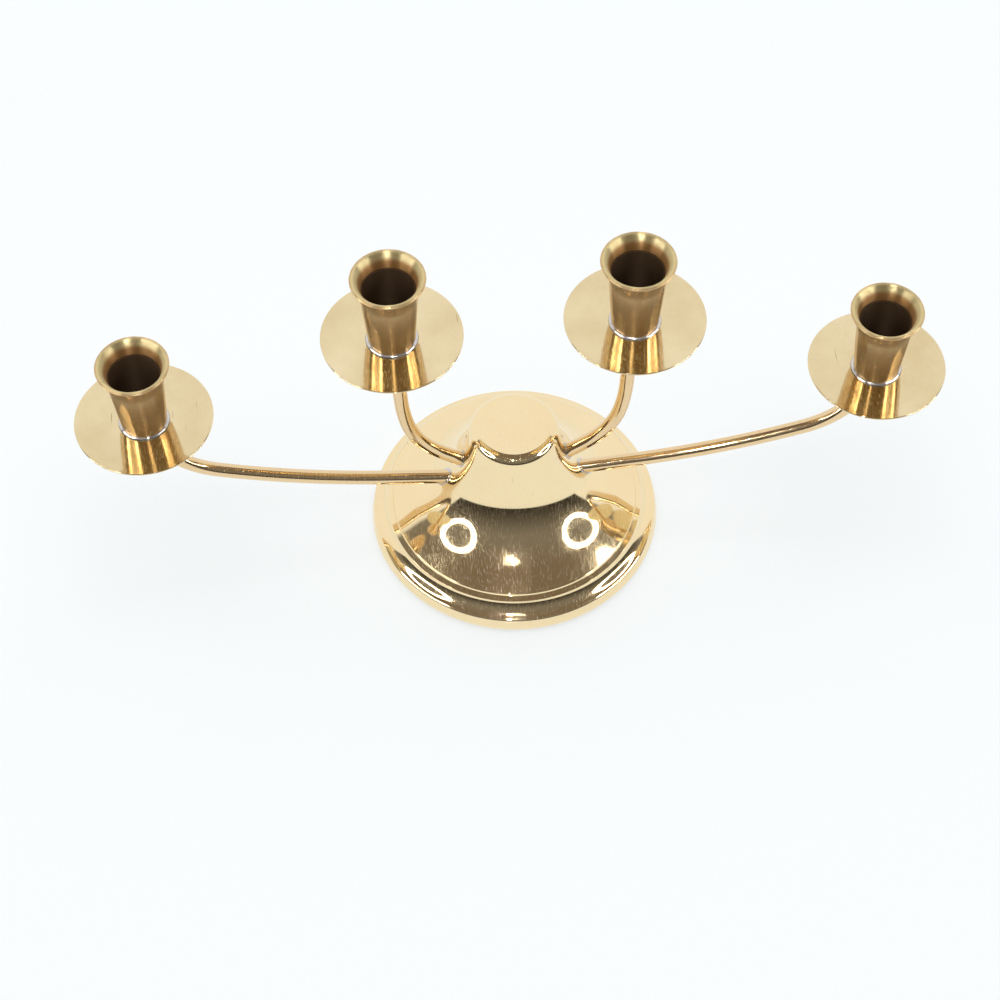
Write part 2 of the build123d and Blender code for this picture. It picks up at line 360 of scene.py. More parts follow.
def paint(code):
    """Linear colour of an sRGB hex code."""
    parts = [int(code[place:place + 2], 16) / 255 for place in (1, 3, 5)]
    linear = [part / 12.92 if part <= 0.04045 else ((part + 0.055) / 1.055) ** 2.4 for part in parts]
    return linear + [1.0]


def add_node(tree, kind, inputs=None, **settings):
    """Add a node with its settings, and link or set its inputs."""
    made = tree.nodes.new(kind)
    for name, value in settings.items():
        setattr(made, name, value)
    for name, value in (inputs or {}).items():
        if isinstance(value, bpy.types.NodeSocket):
            tree.links.new(value, made.inputs[name])
        else:
            made.inputs[name].default_value = value
    return made


def start_material(name):
    """A new material with nothing in it."""
    material = bpy.data.materials.new(name)
    material.use_nodes = True
    material.node_tree.nodes.clear()
    return material, material.node_tree


def finish_material(tree, shader):
    """Link a shader to the material's output."""
    add_node(tree, "ShaderNodeOutputMaterial", {"Surface": shader.outputs[0]})


def lines(tree, place, turned, size):
    """Strength of a set of lines, of a width and a length, that run one way across the metal."""
    width, length = size
    scale = [1 / (span * MM) for span in (width, length, length)]
    along = add_node(tree, "ShaderNodeMapping", {"Vector": place, "Rotation": turned, "Scale": scale})
    pattern = add_node(
        tree, "ShaderNodeTexNoise", {"Vector": along.outputs[0], "Scale": 1.0, "Detail": 2.0}
    )
    return pattern.outputs["Fac"]


def scratched_haze(tree, place, bright, dull, scratched):
    """Colour of polished brass: clear and hazy patches, with old scratches that have gone brown."""
    haze = add_node(
        tree, "ShaderNodeTexNoise", {"Vector": place, "Scale": 1 / (HAZE_PATCH * MM), "Detail": 5.0}
    )
    clean = add_node(
        tree,
        "ShaderNodeMix",
        {"Factor": haze.outputs["Fac"], COLOUR_A: paint(bright), COLOUR_B: paint(dull)},
        data_type="RGBA",
    )
    scratches = add_node(
        tree,
        "ShaderNodeMapRange",
        {
            "Value": lines(tree, place, SCRATCH_TURN, SCRATCH_SIZE),
            "From Min": SCRATCH_FAINT,
            "From Max": SCRATCH_FULL,
            "To Max": scratched,
        },
    )
    colour = add_node(
        tree,
        "ShaderNodeMix",
        {
            "Factor": scratches.outputs[0],
            COLOUR_A: clean.outputs[COLOUR_OUT],
            COLOUR_B: paint(SCRATCH_BROWN),
        },
        data_type="RGBA",
    )
    return colour.outputs[COLOUR_OUT]


def polished_brass(name, bright, dull, roughness, scratched):
    """Brass, spun or drawn and buffed: bright pale gold with a thin haze, hairlines and old scratches."""
    material, tree = start_material(name)
    place = add_node(tree, "ShaderNodeTexCoord").outputs["Object"]
    hairs = add_node(
        tree,
        "ShaderNodeMath",
        {
            0: lines(tree, place, HAIRLINE_TURN, HAIRLINE_SIZE),
            1: lines(tree, place, HAIRLINE_CROSS_TURN, HAIRLINE_SIZE),
        },
        operation="MAXIMUM",
    )
    gloss = add_node(
        tree,
        "ShaderNodeMapRange",
        {
            "Value": hairs.outputs[0],
            "From Min": HAIRLINE_FAINT,
            "From Max": HAIRLINE_FULL,
            "To Min": roughness,
            "To Max": HAIRLINE_ROUGHNESS,
        },
    )
    dents = add_node(
        tree,
        "ShaderNodeBump",
        {"Strength": HAIRLINE_BUMP, "Distance": HAIRLINE_DEPTH * MM, "Height": hairs.outputs[0]},
    )
    shader = add_node(
        tree,
        "ShaderNodeBsdfPrincipled",
        {
            "Base Color": scratched_haze(tree, place, bright, dull, scratched),
            "Metallic": 1.0,
            "Roughness": gloss.outputs[0],
            "Normal": dents.outputs[0],
        },
    )
    finish_material(tree, shader)
    return material


def cup_colour(tree, tarnish, inside, below_mouth, below_throat):
    """Colour of a cup: blotched outside; inside, a gold mouth, then painted shade, bronze in the throat and
    dark brown in the bore.
    """
    outer = add_node(
        tree,
        "ShaderNodeMix",
        {"Factor": tarnish, COLOUR_A: paint(WALL_CLEAN), COLOUR_B: paint(WALL_TARNISHED)},
        data_type="RGBA",
    )
    # Inside, the colour is painted darker with depth: painted shade, bronze in the throat and dark brown in
    # the bore
    throat = add_node(
        tree,
        "ShaderNodeMix",
        {"Factor": below_mouth, COLOUR_A: paint(MOUTH_GOLD), COLOUR_B: paint(THROAT_BRONZE_HALF_SHADE)},
        data_type="RGBA",
    )
    inner = add_node(
        tree,
        "ShaderNodeMix",
        {"Factor": below_throat, COLOUR_A: throat.outputs[COLOUR_OUT], COLOUR_B: paint(BORE_PAINTED_SHADE)},
        data_type="RGBA",
    )
    colour = add_node(
        tree,
        "ShaderNodeMix",
        {"Factor": inside, COLOUR_A: outer.outputs[COLOUR_OUT], COLOUR_B: inner.outputs[COLOUR_OUT]},
        data_type="RGBA",
    )
    return colour.outputs[COLOUR_OUT]


def cup_roughness(tree, tarnish, inside, height, below_throat):
    """Roughness of a cup: satin outside and in the mouth, dull on the rubbed lip, matt in the bore."""
    wall = add_node(
        tree,
        "ShaderNodeMapRange",
        {"Value": tarnish, "To Min": WALL_CLEAN_ROUGHNESS, "To Max": WALL_TARNISHED_ROUGHNESS},
    )
    lip = add_node(
        tree,
        "ShaderNodeMapRange",
        {"Value": height, "From Min": LIP_DULL_STARTS, "From Max": LIP_DULL_FULL, "To Max": LIP_ROUGHNESS},
    )
    outer = add_node(tree, "ShaderNodeMath", {0: wall.outputs[0], 1: lip.outputs[0]}, operation="MAXIMUM")
    inner = add_node(
        tree,
        "ShaderNodeMapRange",
        {"Value": below_throat, "To Min": MOUTH_ROUGHNESS, "To Max": BORE_ROUGHNESS},
    )
    roughness = add_node(
        tree, "ShaderNodeMix", {"Factor": inside, NUMBER_A: outer.outputs[0], NUMBER_B: inner.outputs[0]}
    )
    return roughness.outputs[0]


def cup_metal_share(tree, inside, below_mouth):
    """Share of a cup's surface that is bare metal, which is less down inside, under the painted shade."""
    # Here tarnish is only the depth inside the cup, where the shade is painted
    tarnish = add_node(tree, "ShaderNodeMath", {0: below_mouth, 1: inside}, operation="MULTIPLY")
    share = add_node(
        tree,
        "ShaderNodeMapRange",
        {"Value": tarnish.outputs[0], "To Min": CLEAN_METAL_SHARE, "To Max": DOWN_INSIDE_METAL_SHARE},
    )
    return share.outputs[0]


def tarnished_brass_and_painted_shade():
    """Brass, turned and left bare: a satin mouth, bronze blotches outside, and, down inside, painted shade
    that deepens to a matt dark brown.
    """
    material, tree = start_material("tarnished_turned_brass_painted_shade")
    wall = add_node(tree, "ShaderNodeAttribute", attribute_name="turned_wall").outputs["Vector"]
    height = add_node(tree, "ShaderNodeAttribute", attribute_name="turned_height").outputs["Fac"]
    inside = add_node(tree, "ShaderNodeAttribute", attribute_name="turned_inside").outputs["Fac"]
    spread = add_node(
        tree, "ShaderNodeMapping", {"Vector": wall, "Scale": [1 / span for span in BLOTCH_SIZE]}
    )
    blotches = add_node(
        tree, "ShaderNodeTexNoise", {"Vector": spread.outputs[0], "Scale": 1.0, "Detail": 4.0}
    ).outputs["Fac"]
    tarnish = add_node(
        tree, "ShaderNodeMapRange", {"Value": blotches, "From Min": BLOTCH_FAINT, "From Max": BLOTCH_FULL}
    ).outputs[0]
    below_mouth = add_node(
        tree, "ShaderNodeMapRange", {"Value": height, "From Min": MOUTH_ENDS, "From Max": THROAT_STARTS}
    ).outputs[0]
    below_throat = add_node(
        tree, "ShaderNodeMapRange", {"Value": height, "From Min": THROAT_ENDS, "From Max": BORE_STARTS}
    ).outputs[0]
    dents = add_node(
        tree, "ShaderNodeBump", {"Strength": BLOTCH_BUMP, "Distance": BLOTCH_DEPTH * MM, "Height": blotches}
    )
    # The turning marks run round the cup, so its gloss is stretched up the wall
    shader = add_node(
        tree,
        "ShaderNodeBsdfPrincipled",
        {
            "Base Color": cup_colour(tree, tarnish, inside, below_mouth, below_throat),
            "Metallic": cup_metal_share(tree, inside, below_mouth),
            "Roughness": cup_roughness(tree, tarnish, inside, height, below_throat),
            "Anisotropic": TURNED_ANISOTROPY,
            "Anisotropic Rotation": TURNED_GLOSS_ROTATION,
            "Normal": dents.outputs[0],
        },
    )
    finish_material(tree, shader)
    return material


def grained_metal(name, bright, dull, grain, roughness, dent):
    """A plain metal whose shade, gloss and surface vary with a grain of some size in millimetres."""
    material, tree = start_material(name)
    place = add_node(tree, "ShaderNodeTexCoord").outputs["Object"]
    grains = add_node(
        tree, "ShaderNodeTexNoise", {"Vector": place, "Scale": 1 / (grain * MM), "Detail": 4.0}
    ).outputs["Fac"]
    colour = add_node(
        tree,
        "ShaderNodeMix",
        {"Factor": grains, COLOUR_A: paint(bright), COLOUR_B: paint(dull)},
        data_type="RGBA",
    )
    gloss = add_node(
        tree,
        "ShaderNodeMapRange",
        {
            "Value": grains,
            "To Min": roughness - GRAIN_ROUGHNESS_SPREAD,
            "To Max": roughness + GRAIN_ROUGHNESS_SPREAD,
        },
    )
    dents = add_node(
        tree, "ShaderNodeBump", {"Strength": GRAIN_BUMP, "Distance": dent * MM, "Height": grains}
    )
    shader = add_node(
        tree,
        "ShaderNodeBsdfPrincipled",
        {
            "Base Color": colour.outputs[COLOUR_OUT],
            "Metallic": 1.0,
            "Roughness": gloss.outputs[0],
            "Normal": dents.outputs[0],
        },
    )
    finish_material(tree, shader)
    return material


def burnt_flux(tree, place):
    """Strength of the burnt flux that lies in patches along the foot of a solder bead."""
    height = add_node(tree, "ShaderNodeAttribute", attribute_name="turned_height").outputs["Fac"]
    foot = add_node(
        tree, "ShaderNodeMapRange", {"Value": height, "From Min": FLUX_TOP, "From Max": FLUX_BOTTOM}
    )
    patches = add_node(
        tree, "ShaderNodeTexNoise", {"Vector": place, "Scale": 1 / (FLUX_PATCH * MM), "Detail": 2.0}
    )
    burnt = add_node(
        tree,
        "ShaderNodeMapRange",
        {"Value": patches.outputs["Fac"], "From Min": FLUX_FAINT, "From Max": FLUX_FULL},
    )
    flux = add_node(
        tree, "ShaderNodeMath", {0: foot.outputs[0], 1: burnt.outputs[0]}, operation="MULTIPLY"
    )
    return flux.outputs[0]


def fluxed_solder():
    """Tin-lead solder, run round a joint: bright silver-white, with dark burnt flux along its foot."""
    material, tree = start_material("tin_lead_solder_bead")
    place = add_node(tree, "ShaderNodeTexCoord").outputs["Object"]
    flux = burnt_flux(tree, place)
    grains = add_node(
        tree, "ShaderNodeTexNoise", {"Vector": place, "Scale": 1 / (SOLDER_GRAIN * MM), "Detail": 4.0}
    ).outputs["Fac"]
    metal = add_node(
        tree,
        "ShaderNodeMix",
        {"Factor": grains, COLOUR_A: paint(SOLDER_BRIGHT), COLOUR_B: paint(SOLDER_DULL)},
        data_type="RGBA",
    )
    colour = add_node(
        tree,
        "ShaderNodeMix",
        {"Factor": flux, COLOUR_A: metal.outputs[COLOUR_OUT], COLOUR_B: paint(FLUX_BROWN)},
        data_type="RGBA",
    )
    metal_share = add_node(
        tree, "ShaderNodeMapRange", {"Value": flux, "To Min": 1.0, "To Max": FLUX_METAL_SHARE}
    )
    gloss = add_node(
        tree, "ShaderNodeMapRange", {"Value": flux, "To Min": BEAD_ROUGHNESS, "To Max": FLUX_ROUGHNESS}
    )
    dents = add_node(
        tree, "ShaderNodeBump", {"Strength": GRAIN_BUMP, "Distance": SOLDER_DENT * MM, "Height": grains}
    )
    shader = add_node(
        tree,
        "ShaderNodeBsdfPrincipled",
        {
            "Base Color": colour.outputs[COLOUR_OUT],
            "Metallic": metal_share.outputs[0],
            "Roughness": gloss.outputs[0],
            "Normal": dents.outputs[0],
        },
    )
    finish_material(tree, shader)
    return material


def pressed_felt():
    """Wool felt, pressed: matt green with fibres in all directions and a soft bloom at the edge."""
    material, tree = start_material("pressed_wool_felt")
    place = add_node(tree, "ShaderNodeTexCoord").outputs["Object"]
    fibres = add_node(
        tree,
        "ShaderNodeTexNoise",
        {"Vector": place, "Scale": 1 / (FELT_TANGLE * MM), "Detail": 6.0, "Distortion": 1.5},
    ).outputs["Fac"]
    colour = add_node(
        tree,
        "ShaderNodeMix",
        {"Factor": fibres, COLOUR_A: paint(FELT_DARK), COLOUR_B: paint(FELT_LIGHT)},
        data_type="RGBA",
    )
    dents = add_node(
        tree, "ShaderNodeBump", {"Strength": FELT_BUMP, "Distance": FELT_NAP * MM, "Height": fibres}
    )
    shader = add_node(
        tree,
        "ShaderNodeBsdfPrincipled",
        {
            "Base Color": colour.outputs[COLOUR_OUT],
            "Roughness": 0.95,
            "Sheen Weight": 0.4,
            "Normal": dents.outputs[0],
        },
    )
    finish_material(tree, shader)
    return material


# Pieces


def base_outline():
    """The outside of the bell base, from the middle of the boss down the flare and the cove to the foot."""
    outline, pen = start_outline((0, BOSS_EDGE.y))
    pen = round_corner(outline, pen, BOSS_EDGE, FLARE_CORNER, BOSS_EDGE_ROUNDING)
    pen = round_corner(outline, pen, FLARE_CORNER, FLARE_EDGE, FLARE_RADIUS)
    pen = round_corner(outline, pen, FLARE_EDGE, LEDGE_INNER, STEP_ROUNDING)
    pen = round_corner(outline, pen, LEDGE_INNER, LEDGE_OUTER, LEDGE_ROUNDING)
    pen = round_corner(outline, pen, LEDGE_OUTER, LEDGE_OUTER + COVE_HEADING, LEDGE_ROUNDING)
    pen = bend_to(outline, pen, tangent_centre(pen.co.xz, COVE_HEADING, COVE_FOOT), COVE_FOOT)
    pen = round_corner(outline, pen, SHOULDER_CORNER, FOOT_BULGE, SHOULDER_ROUNDING)
    pen = round_corner(outline, pen, FOOT_BULGE, FOOT_EDGE, FOOT_ROUNDING)
    run_to(outline, pen, FOOT_EDGE)
    return outline


def make_base_shell(finish):
    """Bell base, spun from sheet."""
    shell = base_outline()
    turn(shell)
    bmesh.ops.solidify(shell, geom=shell.faces[:], thickness=SHELL_WALL)
    finish_piece("bell_base", shell, finish, "base_shell")


def make_drip_pan(light, finish):
    """Spun pan with a flat floor, a low slope up to the edge, and a thin rounded edge."""
    node = f"drip_pan_{light}"
    span = measure(node)
    sheet = Vector((0, PAN_THICKNESS))
    rim = Vector((span.radius, PAN_DISH))
    floor_edge = Vector((PAN_FLAT_RADIUS, 0))
    hole_edge = Vector((ARM_RADIUS, 0))
    outline, hole = start_outline(hole_edge)
    pen = round_corner(outline, hole, floor_edge, rim, PAN_FLOOR_ROUNDING)
    pen = round_corner(outline, pen, rim, rim - sheet, PAN_EDGE_ROUNDING)
    pen = round_corner(outline, pen, rim - sheet, floor_edge - sheet, PAN_EDGE_ROUNDING)
    pen = round_corner(outline, pen, floor_edge - sheet, hole_edge - sheet, PAN_FLOOR_ROUNDING)
    pen = run_to(outline, pen, hole_edge - sheet)
    outline.edges.new((pen, hole))
    turn(outline)
    place = (span.middle, 0, span.top - PAN_DISH)
    finish_piece(f"pan_{light}", outline, finish, node, place)


def cup_outline(mouth, height):
    """Half section of a cup of a mouth radius and a height, from the hole up outside and down inside."""
    lip_bottom = Vector((mouth, height - CUP_LIP_DEPTH))
    lip_outer = Vector((mouth, height))
    lip_inner = Vector((mouth - CUP_LIP_WIDTH, height))
    taper = CUP_WAIST - Vector((CUP_FOOT_RADIUS, 0))
    outline, hole = start_outline((ARM_RADIUS, 0))
    pen = run_to(outline, hole, (CUP_FOOT_RADIUS, 0))
    pen = run_to(outline, pen, CUP_WAIST)
    pen = bend_to(outline, pen, tangent_centre(CUP_WAIST, taper, lip_bottom), lip_bottom)
    pen = run_to(outline, pen, lip_outer)
    pen = run_to(outline, pen, lip_inner)
    pen = bend_to(outline, pen, tangent_centre(CUP_FLARE_BOTTOM, taper, lip_inner), CUP_FLARE_BOTTOM)
    pen = run_to(outline, pen, (CANDLE_BORE_RADIUS, CUP_FLARE_BOTTOM.y))
    pen = run_to(outline, pen, (CANDLE_BORE_RADIUS, CANDLE_BORE_BOTTOM))
    pen = run_to(outline, pen, (CUP_FLOOR_RADIUS, CUP_FLOOR))
    pen = run_to(outline, pen, (ARM_RADIUS, CUP_FLOOR))
    outline.edges.new((pen, hole))
    round_corners(outline, [lip_bottom, lip_outer, lip_inner], CUP_EDGE_ROUNDING)
    return outline


def make_candle_cup(light, finish):
    """Turned cup with a tapered wall, a trumpet mouth, a flat lip and a straight bore for the candle."""
    node = f"candle_cup_{light}"
    span = measure(node)
    cup = cup_outline(span.radius, span.top - span.bottom)
    turn(cup)
    note_turning(cup)
    finish_piece(f"cup_{light}", cup, finish, node, (span.middle, 0, span.bottom))


def lump(shape):
    """Make solder a little uneven."""
    for vert in shape.verts:
        vert.co += noise.noise_vector(vert.co / SOLDER_LUMP_SIZE) * SOLDER_LUMP


def make_cup_solder(light, finish):
    """Bead of solder between the cup's foot and the pan."""
    node = f"cup_solder_{light}"
    span = measure(node)
    foot = Vector((CUP_FOOT_RADIUS + CUP_SOLDER_WIDTH, 0))
    top = Vector((CUP_FOOT_RADIUS, CUP_SOLDER_RISE))
    outline, heel = start_outline((CUP_FOOT_RADIUS, 0))
    pen = run_to(outline, heel, foot)
    pen = bend_to(outline, pen, tangent_centre(foot, (0, 1), top), top)
    outline.edges.new((pen, heel))
    turn(outline)
    note_turning(outline)
    lump(outline)
    finish_piece(f"bead_{light}", outline, finish, node, (span.middle, 0, span.bottom))


def make_floor_solder(light, finish):
    """Low mound of solder over the arm's end in the floor of the cup."""
    node = f"floor_solder_{light}"
    span = measure(node)
    top = Vector((0, FLOOR_SOLDER_RISE))
    edge = Vector((FLOOR_SOLDER_RADIUS, 0))
    outline, pen = start_outline(top)
    pen = bend_to(outline, pen, tangent_centre(top, (1, 0), edge), edge)
    run_to(outline, pen, (0, 0))
    turn(outline)
    lump(outline)
    finish_piece(f"pool_{light}", outline, finish, node, (span.middle, 0, span.bottom))


def heading_vector(side, angle):
    """Direction in the plane of the arms, at an angle above the table, out towards one side."""
    return Vector((side * cos(radians(angle)), 0, sin(radians(angle))))


def arc_run(radius, start, end):
    """Distances out and up that an arm covers in a bend from one angle to another."""
    start, end = radians(start), radians(end)
    return Vector((radius * (sin(end) - sin(start)), radius * (cos(start) - cos(end))))


def straight_lengths(arm, reach, floor):
    """Lengths of an arm's straight root and straight stem, which take up what its bends leave."""
    bends = (
        arc_run(arm.bow_radius, arm.root_angle, arm.bow_angle)
        + arc_run(arm.bend_radius, arm.bow_angle, arm.stem_angle)
        + arc_run(ARM_TIP_BEND, arm.stem_angle, UPRIGHT)
    )
    left = Vector((reach - arm.root_radius, floor - ARM_TIP_LENGTH - arm.root_height)) - bends
    root = heading_vector(1, arm.root_angle).xz
    stem = heading_vector(1, arm.stem_angle).xz
    return left.cross(stem) / root.cross(stem), root.cross(left) / root.cross(stem)


def draw_on(rod, ring, middle, run):
    """Draw the open end of a rod straight on, and give its new end and the middle of that."""
    edges = [item for item in ring if isinstance(item, bmesh.types.BMEdge)]
    grown = bmesh.ops.extrude_edge_only(rod, edges=edges)["geom"]
    moved = [item for item in grown if isinstance(item, bmesh.types.BMVert)]
    bmesh.ops.translate(rod, vec=run, verts=moved)
    return [item for item in grown if not isinstance(item, bmesh.types.BMFace)], middle + run


def bend_on(rod, ring, middle, side, radius, start, end):
    """Bend the open end of a rod up to another angle, and give its new end and the middle of that."""
    over = Vector((-side * sin(radians(start)), 0, cos(radians(start))))
    swept = end - start
    swung = bmesh.ops.spin(
        rod,
        geom=ring,
        cent=middle + over * radius,
        axis=(0, -side, 0),
        angle=radians(swept),
        steps=ceil(max(radius * radians(swept) / (2 * ARC_STEP), swept / ARC_STEP_ANGLE)),
    )
    run = arc_run(radius, start, end)
    return swung["geom_last"], middle + Vector((side * run.x, 0, run.y))


def bend_rod(arm, side, root_length, stem_length):
    """Round rod along a straight root, a bow, a bend, a straight stem and an upright tip."""
    root = heading_vector(side, arm.root_angle)
    stem = heading_vector(side, arm.stem_angle)
    middle = Vector((side * arm.root_radius, 0, arm.root_height))
    facing = root.to_track_quat("Z", "Y").to_matrix().to_4x4()
    rod = bmesh.new()
    bmesh.ops.create_circle(
        rod,
        cap_ends=False,
        segments=ROD_SEGMENTS,
        radius=ARM_RADIUS,
        matrix=Matrix.Translation(middle) @ facing,
    )
    ring = rod.verts[:] + rod.edges[:]
    ring, middle = draw_on(rod, ring, middle, root * root_length)
    ring, middle = bend_on(rod, ring, middle, side, arm.bow_radius, arm.root_angle, arm.bow_angle)
    ring, middle = bend_on(rod, ring, middle, side, arm.bend_radius, arm.bow_angle, arm.stem_angle)
    ring, middle = draw_on(rod, ring, middle, stem * stem_length)
    ring, middle = bend_on(rod, ring, middle, side, ARM_TIP_BEND, arm.stem_angle, UPRIGHT)
    draw_on(rod, ring, middle, Vector((0, 0, ARM_TIP_LENGTH + CUP_FLOOR + ARM_END_RISE)))
    bmesh.ops.holes_fill(rod, edges=rod.edges)
    bmesh.ops.recalc_face_normals(rod, faces=rod.faces)
    return rod


def make_arm(light, finish):
    """Arm bent from round rod, from inside the boss to the floor of its cup."""
    arm = ARMS[light]
    cup = measure(f"candle_cup_{light}")
    side = 1 if cup.middle > 0 else -1
    root_length, stem_length = straight_lengths(arm, abs(cup.middle), cup.bottom)
    rod = bend_rod(arm, side, root_length, stem_length)
    finish_piece(f"rod_{light}", rod, finish, f"arm_{light}")


def make_felt(finish):
    """Disc of felt under the base, with a soft cut edge."""
    span = measure("felt_pad")
    felt = bmesh.new()
    bmesh.ops.create_circle(felt, cap_ends=True, segments=TURNED_STEPS, radius=span.radius)
    grown = bmesh.ops.extrude_face_region(felt, geom=felt.faces[:])
    risen = [item for item in grown["geom"] if isinstance(item, bmesh.types.BMVert)]
    bmesh.ops.translate(felt, vec=(0, 0, span.top - span.bottom), verts=risen)
    rims = [edge for edge in felt.edges if abs(edge.verts[0].co.z - edge.verts[1].co.z) < MERGE_DISTANCE]
    bmesh.ops.bevel(
        felt,
        geom=rims,
        offset=FELT_EDGE_ROUNDING,
        segments=FELT_EDGE_SEGMENTS,
        profile=0.5,
        affect="EDGES",
        material=-1,
    )
    bmesh.ops.recalc_face_normals(felt, faces=felt.faces)
    piece = finish_piece("felt_disc", felt, finish, "felt_pad")


def dress_node(node, finish):
    """Give a CAD node that stays a finish of its own."""
    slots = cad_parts[node].data.materials
    slots.clear()
    slots.append(finish)


# Studio


def stand_in_studio(name, shape, material):
    """Put a shape drawn in metres into the studio round the object."""
    mesh = bpy.data.meshes.new(name)
    shape.to_mesh(mesh)
    shape.free()
    mesh.materials.append(material)
    thing = bpy.data.objects.new(name, mesh)
    bpy.context.scene.collection.objects.link(thing)
    return thing


def white_paper():
    """Paper: matt and pale under the object's shadow, and near white to the camera and in the metal."""
    material, tree = start_material("white_paper_floor")
    path = add_node(tree, "ShaderNodeLightPath")
    seen = add_node(
        tree,
        "ShaderNodeMath",
        {0: path.outputs["Is Camera Ray"], 1: FLOOR_WHITE_SEEN},
        operation="MULTIPLY",
    )
    glow = add_node(
        tree,
        "ShaderNodeMath",
        {0: path.outputs["Is Glossy Ray"], 1: FLOOR_WHITE_MIRRORED, 2: seen.outputs[0]},
        operation="MULTIPLY_ADD",
    )
    paper = add_node(tree, "ShaderNodeBsdfDiffuse", {"Color": paint(FLOOR_PAPER)})
    white = add_node(tree, "ShaderNodeEmission", {"Color": paint(FLOOR_WHITE), "Strength": 1.0})
    mixed = add_node(
        tree, "ShaderNodeMixShader", {0: glow.outputs[0], 1: paper.outputs[0], 2: white.outputs[0]}
    )
    finish_material(tree, mixed)
    return material


def make_floor():
    """Pale floor that the candelabrum stands on."""
    sheet = bmesh.new()
    bmesh.ops.create_grid(sheet, x_segments=1, y_segments=1, size=FLOOR_SIZE / 2)
    stand_in_studio("floor", sheet, white_paper())


def hang_lamp(name, shape, aim, distance, strength):
    """Hang a white lamp face, drawn flat about the origin, out along a direction and turned to the base."""
    material, tree = start_material(f"{name}_diffuser")
    glow = add_node(tree, "ShaderNodeEmission", {"Color": paint(LAMP_WHITE), "Strength": strength})
    finish_material(tree, glow)
    facing = aim.to_track_quat("Z", "Y").to_matrix().to_4x4()
    hung = Matrix.Translation(aim.normalized() * distance) @ facing
    bmesh.ops.transform(shape, matrix=hung, verts=shape.verts)
    lamp = stand_in_studio(name, shape, material)
    lamp.visible_camera = False
    lamp.visible_shadow = False
    lamp.visible_diffuse = False


def make_ring_lamp(side, aim):
    """Ring lamp above one side of the table."""
    ring = bmesh.new()
    for radius in (RING_LAMP_RADIUS, RING_LAMP_RADIUS - RING_LAMP_BAND):
        bmesh.ops.create_circle(ring, cap_ends=False, segments=LAMP_SEGMENTS, radius=radius)
    bmesh.ops.bridge_loops(ring, edges=ring.edges)
    hang_lamp(f"ring_lamp_{side}", ring, aim, RING_LAMP_DISTANCE, RING_LAMP_STRENGTH)


def make_spot_lamp():
    """Small bright lamp beside the camera."""
    disc = bmesh.new()
    bmesh.ops.create_circle(disc, cap_ends=True, segments=LAMP_SEGMENTS, radius=SPOT_LAMP_RADIUS)
    hang_lamp("spot_lamp", disc, SPOT_LAMP_AIM, SPOT_LAMP_DISTANCE, SPOT_LAMP_STRENGTH)


def make_soft_lamp():
    """Wide soft lamp overhead, which lights the floor and is not mirrored in the metal."""
    data = bpy.data.lights.new("soft_lamp", "AREA")
    data.size = SOFT_LAMP_SIZE
    data.energy = SOFT_LAMP_POWER
    lamp = bpy.data.objects.new("soft_lamp", data)
    lamp.location = (0, 0, SOFT_LAMP_HEIGHT)
    lamp.visible_glossy = False
    bpy.context.scene.collection.objects.link(lamp)


def backdrop_share(tree, aim):
    """Whether a direction meets the white backdrop, which leans back behind the table."""
    behind = add_node(
        tree,
        "ShaderNodeMath",
        {0: aim.outputs["Z"], 1: -BACKDROP_SLOPE, 2: aim.outputs["Y"]},
        operation="MULTIPLY_ADD",
    )
    share = add_node(
        tree,
        "ShaderNodeMapRange",
        {
            "Value": behind.outputs[0],
            "From Min": -BACKDROP_EDGE_SOFTNESS,
            "From Max": BACKDROP_EDGE_SOFTNESS,
        },
    )
    return share.outputs[0]


def room_colour(tree, aim):
    """Colour of the dim room in front of the table, from its skirting up the walls to the ceiling."""
    up_the_wall = add_node(
        tree, "ShaderNodeMapRange", {"Value": aim.outputs["Z"], "From Max": ROOM_WALLS_FULL}
    )
    walls = add_node(
        tree,
        "ShaderNodeMix",
        {"Factor": up_the_wall.outputs[0], COLOUR_A: paint(ROOM_SKIRTING), COLOUR_B: paint(ROOM_WALLS)},
        data_type="RGBA",
    )
    overhead = add_node(
        tree,
        "ShaderNodeMapRange",
        {"Value": aim.outputs["Z"], "From Min": ROOM_CEILING_STARTS, "From Max": ROOM_CEILING_FULL},
    )
    room = add_node(
        tree,
        "ShaderNodeMix",
        {"Factor": overhead.outputs[0], COLOUR_A: walls.outputs[COLOUR_OUT], COLOUR_B: paint(ROOM_CEILING)},
        data_type="RGBA",
    )
    return room.outputs[COLOUR_OUT]


def light_studio():
    """White backdrop behind the table and a dim room in front of it; the camera sees white all round."""
    world = bpy.data.worlds.new("studio")
    bpy.context.scene.world = world
    world.use_nodes = True
    tree = world.node_tree
    tree.nodes.clear()
    place = add_node(tree, "ShaderNodeTexCoord").outputs["Generated"]
    aim = add_node(tree, "ShaderNodeSeparateXYZ", {0: place})
    path = add_node(tree, "ShaderNodeLightPath")
    white = add_node(
        tree,
        "ShaderNodeMath",
        {0: path.outputs["Is Camera Ray"], 1: backdrop_share(tree, aim)},
        operation="MAXIMUM",
    )
    colour = add_node(
        tree,
        "ShaderNodeMix",
        {"Factor": white.outputs[0], COLOUR_A: room_colour(tree, aim), COLOUR_B: paint(BACKDROP_WHITE)},
        data_type="RGBA",
    )
    sky = add_node(tree, "ShaderNodeBackground", {"Color": colour.outputs[COLOUR_OUT], "Strength": 1.0})
    add_node(tree, "ShaderNodeOutputWorld", {"Surface": sky.outputs[0]})


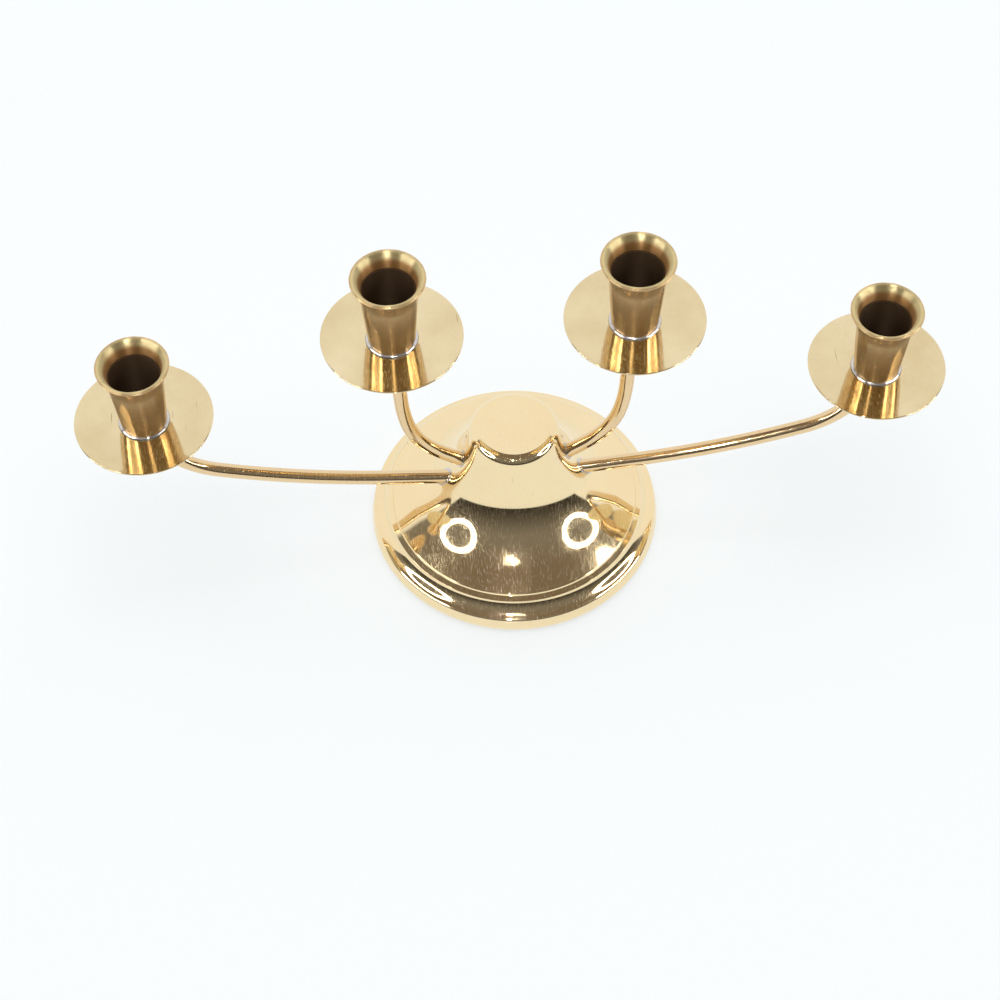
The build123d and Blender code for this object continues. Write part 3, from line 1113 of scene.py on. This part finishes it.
def place_camera():
    """Camera at the photograph's viewing angle."""
    data = bpy.data.cameras.new("camera")
    data.lens = CAMERA_LENS
    data.sensor_width = SENSOR_WIDTH
    camera = bpy.data.objects.new("camera", data)
    bpy.context.scene.collection.objects.link(camera)
    back = -CAMERA_AIM.normalized()
    right = (CAMERA_RIGHT - back * CAMERA_RIGHT.dot(back)).normalized()
    turned = Matrix((right, back.cross(right), back)).transposed().to_4x4()
    camera.matrix_world = Matrix.Translation(CAMERA_PLACE) @ turned
    bpy.context.scene.camera = camera


# Finishes of the candelabrum

# A mirror polish shows the room sharply, with few marks
mirror_brass = polished_brass(
    "mirror_polished_spun_brass", "#F8E4BA", "#F0D8AA", roughness=0.04, scratched=0.3
)
# Buffed sheet is hazier, in paler and deeper patches, and its old scratches show dark
pan_brass = polished_brass("buffed_spun_brass", "#F8E8C4", "#D0B986", roughness=0.06, scratched=1.0)
# Drawn rod is a little redder and softer in its gloss
rod_brass = polished_brass(
    "drawn_and_buffed_brass_rod", "#F0D6AC", "#E1C294", roughness=0.08, scratched=0.5
)
# Turned cups: tarnish blotches outside, and painted shade darkening the inside with depth
cup_brass = tarnished_brass_and_painted_shade()
bead_solder = fluxed_solder()
# Solder that froze by itself is silver-white and slightly lumpy
solder = grained_metal(
    "tin_lead_solder", SOLDER_BRIGHT, SOLDER_DULL, SOLDER_GRAIN, roughness=0.22, dent=SOLDER_DENT
)
# Brass from the lathe, never polished, is a duller gold with fine tool marks
hub_brass = grained_metal(
    "sawn_and_turned_brass", "#D9BC80", "#B8975C", grain=0.8, roughness=0.35, dent=0.05
)
# Iron cast in sand is dark grey, matt and pitted
cast_iron = grained_metal("sand_cast_iron", "#5A5856", "#3C3A39", grain=1.0, roughness=0.65, dent=0.3)
# Zinc plating is a pale bluish grey with a soft spangle
plated_steel = grained_metal(
    "zinc_plated_steel", "#C6C8CA", "#9FA3A8", grain=1.5, roughness=0.32, dent=0.05
)

# The candelabrum

noise.seed_set(SOLDER_LUMP_SEED)
make_base_shell(mirror_brass)
for light in ARMS:
    make_arm(light, rod_brass)
    make_drip_pan(light, pan_brass)
    make_candle_cup(light, cup_brass)
    make_cup_solder(light, bead_solder)
    make_floor_solder(light, solder)
    dress_node(f"arm_solder_{light}", solder)
make_felt(pressed_felt())
dress_node("arm_hub", hub_brass)
dress_node("ballast", cast_iron)
dress_node("base_bolt", plated_steel)
dress_node("bolt_washer", plated_steel)

# The studio

make_floor()
for side, aim in RING_LAMPS.items():
    make_ring_lamp(side, aim)
make_spot_lamp()
make_soft_lamp()
light_studio()
place_camera()
bpy.context.scene.view_settings.view_transform = "Standard"
